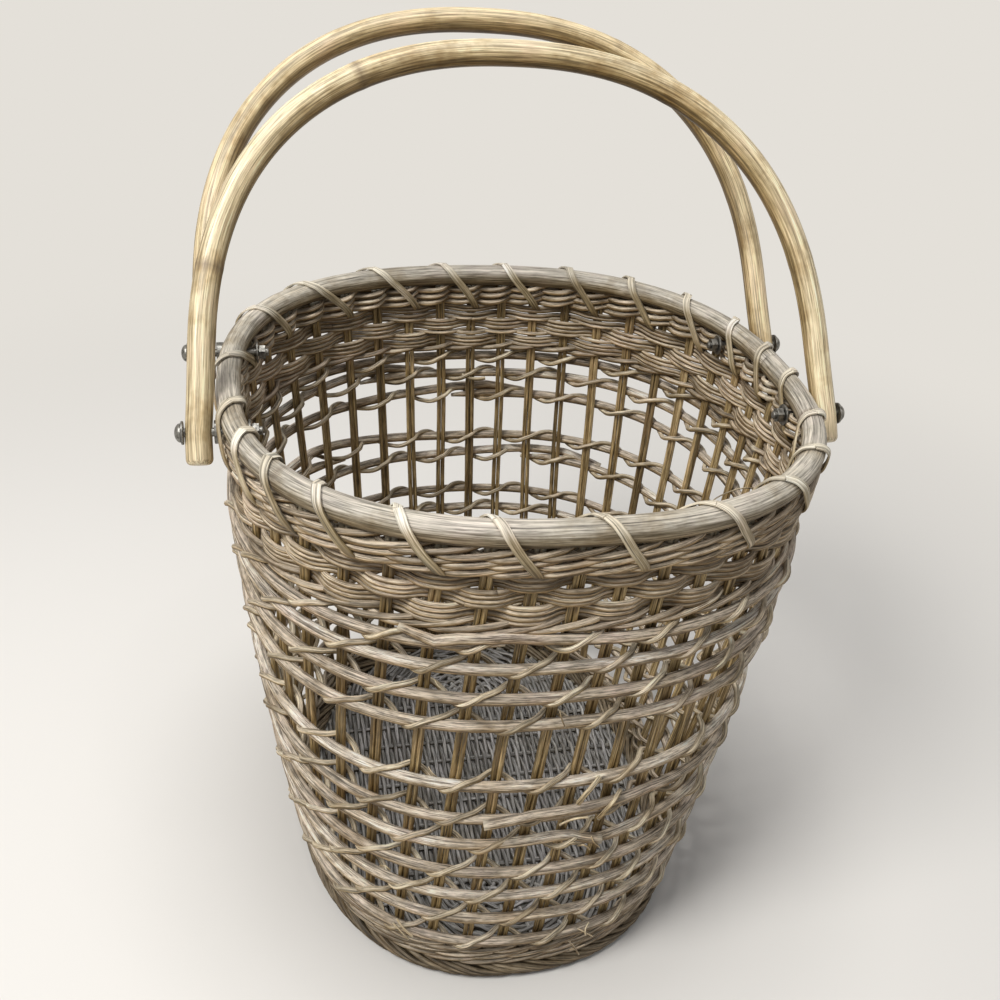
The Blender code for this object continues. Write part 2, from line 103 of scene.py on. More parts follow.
class BasketSizes(bpy.types.PropertyGroup):
    stake: length("Stake", "Diameter of one stake rod", 4.1)
    hoop: length("Hoop", "Diameter of a side hoop", 8.2)
    tie: length("Tie", "Diameter of the cane that ties a hoop to the stakes", 4.3)
    weaver: length("Weaver", "Diameter of the canes in the woven rows", 3.8)
    wale: length("Wale", "Diameter of the canes in the twisted rows", 4.5)
    foot_wale: length("Foot wale", "Diameter of the canes in the twisted rows at the foot", 3.8)
    base_weaver: length("Base weaver", "Diameter of the canes woven in the base", 3.8)
    rim: length("Rim pole", "Diameter of the pole round the mouth", 17.4)
    lashing_width: length("Lashing width", "Width of the flat cane over the rim", 5.9)
    lashing_thickness: length("Lashing thickness", "Thickness of the flat cane over the rim", 1.3)
    handle: length("Handle pole", "Diameter of the bent handle poles", 18.5)
    seed: IntProperty(name="Seed", description="Start of the small differences between canes", default=7,
                      min=0)


class BasketColours(bpy.types.PropertyGroup):
    hoop: colour("Hoop cane", "Weathered round cane of the hoops", "#C6B499")
    weaver: colour("Weaver cane", "Weathered round cane of the woven rows", "#BDA782")
    stake: colour("Stake reed", "Brown reed of the stakes", "#BDA97F")
    tie: colour("Tie cane", "Thin cane of the hoop ties", "#C4B391")
    lashing: colour("Lashing cane", "Flat pale cane over the rim", "#CFC4AA")
    rim: colour("Rim pole", "Streaked pole round the mouth", "#A79D89")
    base: colour("Base cane", "Greyed cane of the base", "#B8B3AA")
    pole: colour("Handle pole", "Golden bent rattan of the handles", "#D0BC90")
    steel: colour("Steel", "Zinc-bright steel of the bolts", "#7E7C77")
    floor: colour("Floor", "Plain pale floor", "#E4E0D9")


def sizes():
    return bpy.context.scene.basket_sizes


def colours():
    return bpy.context.scene.basket_colours


def chance(shift):
    """Random numbers for one piece, so that a change to it leaves the others as they are."""
    return np.random.default_rng(sizes().seed + shift)


# Places on the basket

def wall(angle, height, out=0.0):
    """Points on the surface through the stakes, or that far outside it, one row for each point."""
    angle, height, out = np.broadcast_arrays(angle, height, out)
    share = height / RIM_HEIGHT
    swell = share + SIDE_SWELL * share * (1 - share)
    half_width = FOOT_HALF[0] + (MOUTH_HALF[0] - FOOT_HALF[0]) * swell + out
    half_depth = FOOT_HALF[1] + (MOUTH_HALF[1] - FOOT_HALF[1]) * swell + out
    squareness = FOOT_SQUARENESS + (MOUTH_SQUARENESS - FOOT_SQUARENESS) * share
    across, along = np.cos(angle), np.sin(angle)
    size = np.abs(across / half_width) ** squareness + np.abs(along / half_depth) ** squareness
    reach = size ** (-1 / squareness)
    return np.stack([across * reach, along * reach, height], axis=-1)


def beside(pair, height, out=0.0):
    """Points counted in stake pairs round the wall; the stakes' feet lie round from their tops."""
    lean = STAKE_LEAN * (1 - np.asarray(height) / RIM_HEIGHT)
    return wall(np.asarray(pair) * TURN / PAIRS - lean, height, out)


def run_of(points):
    """Distance from the first point to each point."""
    steps = np.linalg.norm(np.diff(points, axis=0), axis=1)
    return np.concatenate([[0.0], np.cumsum(steps)])


def sway(rng, position, period, size):
    """Smooth unevenness that closes after the period."""
    total = np.zeros_like(position, dtype=float)
    for wave in range(1, 6):
        phase, strength = rng.uniform(0, TURN), rng.uniform(0.4, 1) / wave ** 0.6
        total += strength * np.sin(TURN * wave * position / period + phase)
    return total * size / 2


def bump(distance, width):
    """1 at no distance, falling smoothly to almost nothing at twice the width."""
    return np.exp(-(distance / width) ** 2)


def curve_through(values, steps):
    """Smooth values between evenly numbered ones, by a cubic through four neighbours."""
    last = len(values) - 1
    index = np.clip(steps.astype(int), 0, last - 1)
    share = steps - index
    before, here = values[np.clip(index - 1, 0, last)], values[index]
    there, after = values[index + 1], values[np.clip(index + 2, 0, last)]
    return 0.5 * (2 * here + (there - before) * share
                  + (2 * before - 5 * here + 4 * there - after) * share ** 2
                  + (3 * here - before - 3 * there + after) * share ** 3)


def round_and_round(turn, stations, values):
    """Smooth periodic values; the stations are shares of one turn in rising order."""
    count = len(stations)
    shares = np.concatenate([stations - 1, stations, stations + 1])
    index = np.interp(turn, shares, np.arange(3 * count))
    return curve_through(np.tile(values, 3), index)


def hoop_line(number, pair, out=0.0, rise=0.0):
    """Middle line of a hoop; out and rise shift it."""
    rng = chance(80 + number)
    level = node_level(f"side_hoop_{number:02d}")
    level = level + HOOP_TILTS[number - 1] * np.sin(np.asarray(pair) * TURN / PAIRS)
    level += sway(rng, np.asarray(pair), PAIRS, 1.0 * MM)
    seat = (sizes().stake + sizes().hoop) / 2
    return beside(pair, level + rise, seat + out)


# Meshes

CUT_MARK = -0.5     # on the cut ends of a cane


def link(item):
    bpy.context.scene.collection.objects.link(item)
    return item


def mesh_from(bm, name):
    """The finished mesh of a bmesh, which is freed."""
    mesh = bpy.data.meshes.new(name)
    bm.to_mesh(mesh)
    bm.free()
    return mesh


def place(item, body, material, slot, replaced=()):
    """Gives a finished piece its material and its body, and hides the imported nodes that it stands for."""
    item.data.materials.clear()
    item.data.materials.append(material)
    item.data.shade_smooth()
    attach(item, body)
    if replaced:
        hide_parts(*replaced)
    return item


def light_and_weathering(facing):
    """How much light falls on a surface that faces that way, from 0.15 underneath to about 1 on top; the
    canes' material paints shade and highlight from it and greys the bleached tops.
    """
    facing = facing / np.maximum(np.linalg.norm(facing, axis=-1, keepdims=True), 1e-9)
    return 0.57 + 0.42 * facing[..., 2]


def butted(points):
    """A closed line stopped just short of its start: the two ends of its cane meet but don't merge."""
    back = points[-2] - points[-1]
    if np.linalg.norm(points[0] - points[-1]) < 0.01 * MM:
        points = np.vstack([points[:-1], points[-1] + back * 0.05 * MM / np.linalg.norm(back)])
    return points


def bare_canes(name, runs, diameter, radii, resolution):
    """The mesh of canes alone; the radii are shares of the plain radius at each point of each run."""
    curve = bpy.data.curves.new(name, "CURVE")
    curve.dimensions = "3D"
    curve.bevel_depth = diameter / 2
    curve.bevel_resolution = resolution
    curve.use_fill_caps = True
    for points, radius in zip(runs, radii):
        spline = curve.splines.new("POLY")
        spline.points.add(len(points) - 1)
        spline.use_smooth = True
        spline.points.foreach_set("co", np.column_stack([points, np.ones(len(points))]).ravel())
        spline.points.foreach_set("radius", radius)
    maker = link(bpy.data.objects.new(name + "_curve", curve))
    bpy.context.view_layer.update()
    mesh = bpy.data.meshes.new_from_object(maker.evaluated_get(bpy.context.evaluated_depsgraph_get()))
    bpy.data.objects.remove(maker)
    bpy.data.curves.remove(curve)
    return mesh


def canes(name, runs, diameter, rng, resolution=2, thickness=None, marks=None):
    """One mesh of round canes with closed ends. Each run is an array of points.

    The grain attribute holds the length along the cane and the place in its section, tone one random share
    for each cane, and one more how much light reaches the surface, from which the material paints shade under
    the cane and a highlight on top. Mark is what the caller gives, and below zero on the ends of a run that
    isn't closed, because they are cut.
    """
    runs = [butted(points) for points in runs]
    radii = []
    for number, points in enumerate(runs):
        along = run_of(points)
        radius = 1 + sway(rng, along, max(along[-1], 400 * MM), 0.05) * rng.uniform(0.4, 1)
        radii.append(radius if thickness is None else radius * thickness[number])
    mesh = bare_canes(name, runs, diameter, radii, resolution)

    around = 4 + 2 * resolution
    turn = TURN * np.arange(around) / around
    section = np.stack([np.cos(turn), np.sin(turn)], axis=-1)
    # For each corner its grain, tone, mark and the middle of the cane there
    values = []
    for number, points in enumerate(runs):
        seed, tone = rng.uniform(0, 40, 2), rng.uniform()
        mark = np.zeros(len(points)) if marks is None else marks[number]
        if np.linalg.norm(points[0] - points[-1]) > diameter:
            mark[[0, -1]] = CUT_MARK
        radius = radii[number] * diameter / 2
        value = np.empty((len(points), around, 8))
        value[..., 0] = run_of(points)[:, None] + seed[0]
        value[..., 1:3] = radius[:, None, None] * section + seed[1]
        value[..., 3] = tone
        value[..., 4] = mark[:, None]
        value[..., 5:] = points[:, None, :]
        values.append(value)
    # The caps come first in the mesh, last cane first and its far end before its near one
    caps = [value[end] for value in reversed(values) for end in (-1, 0)]
    values = np.concatenate(caps + [value.reshape(-1, 8) for value in values])
    if len(values) != len(mesh.vertices):
        raise RuntimeError(f"{name}: {len(mesh.vertices)} corners, {len(values)} expected")
    corner = np.empty((len(values), 3))
    mesh.vertices.foreach_get("co", corner.ravel())
    grain, tone, mark, middle = np.split(values, (3, 4, 5), axis=1)
    mesh.attributes.new("grain", "FLOAT_VECTOR", "POINT").data.foreach_set("vector", grain.ravel())
    # How much light reaches each corner; the material paints shade and highlight from it
    for kind, share in (("tone", tone), ("mark", mark), ("light_and_weather", light_and_weathering(corner - middle))):
        mesh.attributes.new(kind, "FLOAT", "POINT").data.foreach_set("value", share.ravel())
    bm = bmesh.new()
    bm.from_mesh(mesh)
    bmesh.ops.remove_doubles(bm, verts=bm.verts, dist=MERGE_DISTANCE)
    bmesh.ops.recalc_face_normals(bm, faces=bm.faces)
    bm.to_mesh(mesh)
    bm.free()
    return link(bpy.data.objects.new(name, mesh))


def ribbons(name, runs, width, thickness, rng):
    """One mesh of flat canes. Each run is (points, outward directions)."""
    bm = bmesh.new()
    grain = bm.verts.layers.float_vector.new("grain")
    tone = bm.verts.layers.float.new("tone")
    bm.verts.layers.float.new("mark")
    light_and_weather = bm.verts.layers.float.new("light_and_weather")
    shares = (-0.5, -0.2, 0.2, 0.5)
    for points, outward in runs:
        along = run_of(points)
        tangent = np.gradient(points, axis=0)
        tangent /= np.linalg.norm(tangent, axis=1)[:, None]
        across = np.cross(tangent, outward)
        across /= np.linalg.norm(across, axis=1)[:, None]
        crown = np.cross(across, tangent)
        seed, shade = rng.uniform(0, 40, 2), rng.uniform()
        edges = None
        for step, point in enumerate(points):
            if edges is None:
                corners = [bm.verts.new() for _ in shares]
                edges = [bm.edges.new(pair) for pair in zip(corners, corners[1:])]
            else:
                made = bmesh.ops.extrude_edge_only(bm, edges=edges)["geom"]
                fresh = {item for item in made if isinstance(item, bmesh.types.BMVert)}
                corners = [next(edge.other_vert(old) for edge in old.link_edges
                                if edge.other_vert(old) in fresh) for old in corners]
                edges = [bm.edges.get(pair) for pair in zip(corners, corners[1:])]
            for share, corner in zip(shares, corners):
                rise = thickness * 0.35 * (1 - (2 * share) ** 2)
                corner.co = point + across[step] * share * width + crown[step] * rise
                corner[grain] = (along[step] + seed[0], share * width + seed[1], seed[1])
                corner[tone] = shade
                # How much light reaches the flat cane here, for its painted shade and highlight
                corner[light_and_weather] = light_and_weathering(crown[step])
    bmesh.ops.recalc_face_normals(bm, faces=bm.faces)
    made = link(bpy.data.objects.new(name, mesh_from(bm, name)))
    solid = made.modifiers.new("Thickness", "SOLIDIFY")
    solid.thickness = thickness
    solid.offset = 0
    rounded = made.modifiers.new("Edges", "BEVEL")
    rounded.width = thickness * 0.3
    rounded.segments = 2
    rounded.limit_method = "ANGLE"
    return made


def turned(name, profile, side, centre, steps=32):
    """A turned steel piece: (radius, distance from the basket's middle plane) spun round a bolt's axis."""
    bm = bmesh.new()
    corners = [bm.verts.new((side * distance, 0, radius)) for radius, distance in profile]
    edges = [bm.edges.new(pair) for pair in zip(corners, corners[1:])]
    if profile[0][0] > 0:
        edges.append(bm.edges.new((corners[-1], corners[0])))
    bmesh.ops.spin(bm, geom=corners + edges, cent=(0, 0, 0), axis=(1, 0, 0), angle=TURN, steps=steps,
                   use_merge=True)
    bmesh.ops.remove_doubles(bm, verts=bm.verts, dist=MERGE_DISTANCE)
    bmesh.ops.recalc_face_normals(bm, faces=bm.faces)
    bmesh.ops.translate(bm, verts=bm.verts, vec=(0, centre.y, centre.z))
    mesh = mesh_from(bm, name)
    mesh.set_sharp_from_angle(angle=math.radians(40))
    return link(bpy.data.objects.new(name, mesh))


# Materials

def feed(tree, socket, source):
    """Sets an input to a number, vector or colour, or links it to a socket or to a node's output in use."""
    if isinstance(source, bpy.types.Node):
        source = next(output for output in source.outputs if output.enabled)
    if isinstance(source, bpy.types.NodeSocket):
        tree.links.new(source, socket)
    else:
        socket.default_value = (*source, 1) if socket.type == "RGBA" else source


def add(tree, kind, inputs=None, stops=(), **settings):
    """Adds a node with its settings, its inputs and, on a colour ramp, stops of (place, colour or grey)."""
    node = tree.nodes.new(kind)
    for setting, value in settings.items():
        setattr(node, setting, value)
    for name, source in (inputs or {}).items():
        feed(tree, node.inputs[name], source)
    # A ramp starts with two stops
    for _ in stops[2:]:
        node.color_ramp.elements.new(0.5)
    for number, (position, shade) in enumerate(stops):
        element = node.color_ramp.elements[number]
        element.position = position
        element.color = (*(shade if hasattr(shade, "__len__") else (shade,) * 3), 1)
    return node


def started(name):
    """A new material with only its shader and output."""
    made = bpy.data.materials.new(name)
    made.use_nodes = True
    tree = made.node_tree
    return made, tree, tree.nodes["Principled BSDF"]


CUT_CANE = linear("#E6DCC4")        # fresh inside of a cut cane
STAIN = (0.09, 0.05, 0.025)         # dark ring at a node of a pole
PALEST = (0.80, 0.77, 0.70)         # no weathered cane is paler


def shaded(base, factor):
    """A lighter or darker shade of a colour."""
    return [min(1.0, share * factor) for share in base]


def cane(name, base, fibre=0.8, fibre_length=10, streak=0.45, grey=0.3, spread=0.35, roughness=0.55,
         relief=0.3, specular=0.35, crack=0.75, patchy=1.0):
    """Rattan cane or peeled reed, split or round, dried and weathered.

    Long fibres run along each cane as fine pale and brown streaks, and thin cracks open between them. Some
    canes are darker than others. By how each surface faces the light, painted shade darkens the undersides
    towards deep brown and a painted highlight lightens the tops; light has also bleached the upper sides and
    greyed them in patches. Both follow the fibres. The canes are darker towards the floor, and cut ends are
    pale. The fibre size and length are in millimetres.
    """
    made, tree, shader = started(name)
    grain, tone, marks, light_and_weather = (add(tree, "ShaderNodeAttribute", attribute_name=kind)
                                   for kind in ("grain", "tone", "mark", "light_and_weather"))
    object_place = add(tree, "ShaderNodeTexCoord").outputs["Object"]

    def along_grain(length_share, width_share, detail):
        scale = (1 / (fibre_length * length_share * MM), *(1 / (fibre * width_share * MM),) * 2)
        place = add(tree, "ShaderNodeMapping", {"Vector": grain.outputs["Vector"], "Scale": scale})
        return add(tree, "ShaderNodeTexNoise",
                   {"Vector": place, "Scale": 1.0, "Detail": detail, "Roughness": 0.62})

    fibres, streaks, cracks = along_grain(1, 1, 3), along_grain(6, 2.2, 4), along_grain(4, 1.1, 1)
    patches = add(tree, "ShaderNodeTexNoise",
                  {"Vector": object_place, "Scale": 1 / (38 * MM), "Detail": 4.0, "Roughness": 0.65})
    uneven = add(tree, "ShaderNodeMath", {0: streaks, 1: fibres}, operation="ADD")
    uneven = add(tree, "ShaderNodeMath", {0: uneven, 1: 0.3}, operation="MULTIPLY")
    # How the surface faces the light, made uneven along the fibres: it drives the painted shade and highlight
    # and the grey of bleaching
    lit_and_bleached = add(tree, "ShaderNodeMath", {0: light_and_weather.outputs["Fac"], 1: 0.7, 2: uneven},
                   operation="MULTIPLY_ADD")

    shade = add(tree, "ShaderNodeValToRGB", {"Fac": streaks}, [
        (0.34, shaded(base, 1 - 1.2 * streak)), (0.46, shaded(base, 0.86)), (0.54, shaded(base, 1.08)),
        (0.66, shaded(base, 1 + 0.8 * streak))])
    darkest = [share * (1 - spread) for share in (1.0, 0.95, 0.86)]
    brown = [1 - share * patchy for share in (0.30, 0.38, 0.52)]
    tints = (
        (fibres, [(0.36, 1 - 1.1 * streak), (0.48, 0.95), (0.62, 1.0 + 0.5 * streak)]),
        (tone.outputs["Fac"], [(0.0, darkest), (0.5, (0.94, 0.91, 0.84)), (1.0, 1.05)]),
        (patches, [(0.34, brown), (0.5, 1.0), (0.66, (1.10, 1.05, 1.11))]),
        # Painted shade on the undersides and a painted highlight on the tops, by how each surface faces the
        # light
        (lit_and_bleached, [(0.44, (0.20, 0.15, 0.08)), (0.60, (0.48, 0.40, 0.27)), (0.71, (0.70, 0.63, 0.49)),
                    (0.80, (0.93, 0.90, 0.84)), (0.88, 1.06), (0.96, 1.18)]))
    # Inputs 0, 6 and 7 of a colour Mix node are its share and its two colours
    for source, stops in tints:
        tint = add(tree, "ShaderNodeValToRGB", {"Fac": source}, stops)
        shade = add(tree, "ShaderNodeMix", {0: 1.0, 6: shade, 7: tint}, data_type="RGBA",
                    blend_type="MULTIPLY")

    dull = add(tree, "ShaderNodeHueSaturation", {"Color": shade, "Saturation": 0.3, "Value": 1.1})
    bleached = add(tree, "ShaderNodeValToRGB", {"Fac": lit_and_bleached}, [(0.62, 0.0), (0.88, grey)])
    height = add(tree, "ShaderNodeSeparateXYZ", {"Vector": object_place}).outputs["Z"]
    # Darker towards the floor, over the lowest 80 mm
    darker_near_floor = add(tree, "ShaderNodeMapRange", {"Value": height, "From Max": 80 * MM, "To Min": 0.6})
    open_cracks = add(tree, "ShaderNodeValToRGB", {"Fac": cracks}, [(0.36, crack), (0.40, 0.0)])
    stained = marks.outputs["Fac"]
    cut = add(tree, "ShaderNodeMath", {0: stained, 1: -1.0}, operation="MULTIPLY")
    layers = (
        ("MIX", bleached, dull), ("MULTIPLY", 1.0, darker_near_floor), ("MIX", open_cracks, shaded(base, 0.14)),
        ("MIX", stained, STAIN), ("MIX", cut, CUT_CANE), ("DARKEN", 1.0, PALEST))
    for blend, share, layer in layers:
        shade = add(tree, "ShaderNodeMix", {0: share, 6: shade, 7: layer}, data_type="RGBA",
                    blend_type=blend)

    rough = add(tree, "ShaderNodeMapRange", {
        "Value": streaks, "From Min": 0.3, "From Max": 0.7, "To Min": roughness + 0.12,
        "To Max": roughness - 0.1})
    fine = add(tree, "ShaderNodeBump", {"Height": fibres, "Strength": relief, "Distance": 0.6 * MM})
    coarse = add(tree, "ShaderNodeBump",
                 {"Height": streaks, "Normal": fine, "Strength": relief, "Distance": 1.2 * MM})
    feed(tree, shader.inputs["Base Color"], shade)
    feed(tree, shader.inputs["Roughness"], rough)
    feed(tree, shader.inputs["Specular IOR Level"], specular)
    feed(tree, shader.inputs["Normal"], coarse)
    return made


def steel():
    """Zinc-plated mild steel, pressed and turned: bright, with a fine haze and darker worn spots."""
    base = colours().steel
    made, tree, shader = started("zinc_plated_steel")
    where = add(tree, "ShaderNodeTexCoord").outputs["Object"]
    haze = add(tree, "ShaderNodeTexNoise",
               {"Vector": where, "Scale": 1 / (3 * MM), "Detail": 4.0, "Roughness": 0.7})
    shade = add(tree, "ShaderNodeValToRGB", {"Fac": haze},
                [(0.35, shaded(base, 0.35)), (0.5, base), (0.68, shaded(base, 1.4))])
    rough = add(tree, "ShaderNodeMapRange",
                {"Value": haze, "From Min": 0.3, "From Max": 0.7, "To Min": 0.52, "To Max": 0.36})
    feed(tree, shader.inputs["Base Color"], shade)
    feed(tree, shader.inputs["Roughness"], rough)
    feed(tree, shader.inputs["Metallic"], 1.0)
    return made


# Pieces

class BASKET_OT_stakes(bpy.types.Operator):
    """Builds the paired stakes of the open wall"""
    bl_idname = "basket.stakes"
    bl_label = "Stakes"

    def execute(self, context):
        rng = chance(0)
        height = np.linspace(*STAKE_ENDS, 36)
        spacing = sizes().stake * 1.02
        runs = []
        for pair in range(PAIRS):
            shift = sway(rng, height, 0.9, 1.2 * MM)
            for half in (-0.5, 0.5):
                points = beside(pair, height)
                sideways = beside(pair + 0.01, height) - beside(pair - 0.01, height)
                sideways /= np.linalg.norm(sideways, axis=1)[:, None]
                aside = half * spacing + shift + sway(rng, height, 0.7, 0.25 * MM)
                runs.append(points + sideways * aside[:, None])
        made = canes("stakes", runs, sizes().stake, rng)
        finish = cane("peeled_reed", colours().stake, fibre_length=16, streak=0.5, grey=0.15, spread=0.4,
                      roughness=0.5)
        panels = [node for node in frame["nodes"] if node.startswith("stake_panel_")]
        place(made, "basket", finish, "stake_reed", panels)
        return {"FINISHED"}


class BASKET_OT_wales(bpy.types.Operator):
    """Twists three canes round the stakes in each waled row, at the mouth and at the foot"""
    bl_idname = "basket.wales"
    bl_label = "Wales"

    def execute(self, context):
        rod, foot_rod = sizes().wale, sizes().foot_wale
        upper = [node_level("upper_wale_1") + shift * MM for shift in (6.4, 0.6, -5.2)]
        lower = [node_level("lower_wale") - 3.4 * MM]
        foot = [19 * MM, 26 * MM, 33 * MM]
        finish = cane("weathered_rattan", colours().weaver, grey=0.45, spread=0.4, relief=0.45)
        upper_nodes = ("upper_wale_1", "upper_wale_2", "upper_wale_inside")
        self.row("upper_wale_canes", upper, rod, finish, upper_nodes, fullness=1.4, inner_fullness=1.8)
        self.row("lower_wale_canes", lower, rod, finish, ("lower_wale",))
        self.row("foot_wale_canes", foot, foot_rod, finish, ("bottom_wale_1", "bottom_wale_2"))
        return {"FINISHED"}

    def row(self, name, levels, rod, finish, replaced, fullness=1.0, inner_fullness=1.0):
        """Canes at each level; the fullness is how far they bulge out of the stakes and in."""
        rng = chance(len(name))
        reach = (sizes().stake + rod) / 2
        # Share of the period of three pairs, distance out and rise of one cane, in reaches and rods
        steps = np.array([(-0.14, -0.8, 0.1), (-0.04, 0.0, -0.3), (0.1, 1.0, -0.62), (0.28, 1.08, -0.45),
                          (0.46, 1.0, 0.15), (0.58, 0.7, 0.55), (0.66, 0.0, 0.62), (0.75, -0.85, 0.45)])
        runs = []
        for level in levels:
            start = rng.uniform(0, 3)
            for cane_number in range(3):
                pair = np.linspace(0, PAIRS, PAIRS * 8 + 1)
                turn = (pair / 3 + start + cane_number / 3) % 1
                out = reach * round_and_round(turn, steps[:, 0], steps[:, 1])
                out *= np.where(out < 0, inner_fullness, fullness)
                height = level + rod * round_and_round(turn, steps[:, 0], steps[:, 2])
                height += sway(rng, pair, PAIRS, 0.6 * MM)
                runs.append(beside(pair, height, out + sway(rng, pair, PAIRS, 0.3 * MM)))
        place(canes(name, runs, rod, rng), "basket", finish, "weathered_cane", replaced)


class BASKET_OT_weave(bpy.types.Operator):
    """Weaves the three rows of fourfold canes under the rim"""
    bl_idname = "basket.weave"
    bl_label = "Woven rows"

    def execute(self, context):
        rng = chance(20)
        rod = sizes().weaver
        reach = (sizes().stake + rod) / 2 - 0.5 * MM
        finish = cane("weathered_rattan_weavers", colours().weaver, grey=0.4, spread=0.4, relief=0.45)
        lowered = (-1.2 * MM, 1.6 * MM, 4.4 * MM)
        for row, node in enumerate(("weave_row_upper", "weave_row_middle", "weave_row_lower")):
            level = node_level(node) - lowered[row]
            runs = []
            for strand in (-1.5, -0.5, 0.5, 1.5):
                pair = np.linspace(0, PAIRS, PAIRS * 8 + 1)
                side = np.cos(math.pi * (pair + row))
                out = reach * np.tanh(1.2 * side) / math.tanh(1.2)
                height = level + strand * 0.97 * rod + sway(rng, pair, PAIRS, 0.8 * MM)
                points = beside(pair, height, out + sway(rng, pair, PAIRS, 0.5 * MM))
                points = np.roll(points[:-1], rng.integers(0, len(points)), axis=0)
                runs.append(np.vstack([points, points[:1]]))
            made = canes(node + "_canes", runs, rod, rng)
            place(made, "basket", finish, "weathered_cane", (node,))
        return {"FINISHED"}


# For each hoop the stake pair at its first end, how many pairs its ends overlap, and the end on the outside
HOOP_LAPS = ((-14.6, 2.2, "first"), (12.4, 2.2, "first"), (9.2, 2.4, "first"), (15.3, 2.2, "last"),
             (6.6, 2.6, "first"), (-12.15, 4.2, "first"), (-9.8, 0.7, "last"), (17.4, 2.2, "first"),
             (3.2, 2.4, "first"), (13.3, 2.2, "last"), (8.5, 2.2, "first"))


class BASKET_OT_hoops(bpy.types.Operator):
    """Bends the side hoops round the stakes, with their overlapped ends"""
    bl_idname = "basket.hoops"
    bl_label = "Hoops"

    def execute(self, context):
        finish = cane("round_rattan", colours().hoop, fibre_length=9, streak=0.5, grey=0.38, spread=0.25,
                      relief=0.6)
        for number, (start, lap, outer_end) in enumerate(HOOP_LAPS, 1):
            rng = chance(40 + number)
            rod = sizes().hoop
            pair = np.linspace(0, PAIRS + lap, PAIRS * 7)
            # Counted from the outer end, which lies on the hoop's other end; that end is pared thin, and the
            # hoop climbs over itself in the lap
            inward = pair if outer_end == "first" else PAIRS + lap - pair
            out = 0.62 * rod * np.clip(1 - inward / lap, 0, 1) ** 0.7
            rise = 0.9 * rod * np.clip(inward / 1.2, 0, 1) * np.clip(1 - (inward - lap) / 3.5, 0, 1) ** 1.5
            if outer_end == "last":
                rise -= rod * np.clip(1 - pair / (3 * lap), 0, 1)
            pared = 1 - 0.6 * np.clip(inward - PAIRS - lap + 1, 0, 1)
            # The end of the top hoop turns up and is pared too
            if number == 1:
                rise += rod * 1.5 * np.clip(1 - inward / 0.75, 0, 1)
                pared -= 0.4 * np.clip(1 - inward / 0.75, 0, 1)
            points = hoop_line(number, pair + start, out - rod * (1 - pared) / 2, rise)
            node = f"side_hoop_{number:02d}"
            made = canes(f"{node}_cane", [points], rod * rng.uniform(0.95, 1.04), rng, resolution=3,
                         thickness=[pared])
            place(made, "basket", finish, "hoop_cane", (node,))
        return {"FINISHED"}


class BASKET_OT_ties(bpy.types.Operator):
    """Winds one thin cane round each hoop and the stakes behind it"""
    bl_idname = "basket.ties"
    bl_label = "Hoop ties"

    def execute(self, context):
        finish = cane("split_rattan", colours().tie, fibre_length=9, grey=0.33, spread=0.3)
        # Pairs from the crossed one, rise from the hoop and distance out of the stakes, in millimetres
        steps = np.array([
            (-0.36, -4.4, 4.5), (-0.26, -4.3, 6.6), (-0.16, -3.4, 8.8), (-0.05, -1.6, 10.3),
            (0.06, 0.8, 10.8), (0.18, 3.0, 9.9), (0.32, 4.6, 8.2), (0.46, 5.3, 6.4), (0.62, 5.5, 3.6),
            (0.76, 5.3, -0.6), (0.88, 4.6, -4.0), (1.02, 3.0, -4.4), (1.16, 0.8, -4.3), (1.3, -1.4, -3.2),
            (1.46, -3.4, -0.2)])
        seat = (sizes().stake + sizes().hoop) / 2
        turns = PAIRS // 2
        for number, first_pair in enumerate(TIE_PAIRS, 1):
            rng = chance(120 + number)
            phase = np.linspace(0, turns, turns * 26 + 1)
            crossings = np.arange(turns + 1)
            shift = np.interp(phase, crossings, rng.uniform(-0.1, 0.1, turns + 1))
            swell = np.interp(phase, crossings, rng.uniform(0.9, 1.12, turns + 1))
            turn = (phase + 0.2) % 1
            rise = round_and_round(turn, steps[:, 0] / 2, steps[:, 1]) * swell * MM
            out = round_and_round(turn, steps[:, 0] / 2, steps[:, 2]) * MM
            pair = 2 * (phase + 0.2) + first_pair + shift
            points = hoop_line(number, pair, out - seat, rise)
            made = canes(f"hoop_tie_{number:02d}", [points], sizes().tie * rng.uniform(0.93, 1.05), rng)
            place(made, "basket", finish, "lashing_cane")
        return {"FINISHED"}


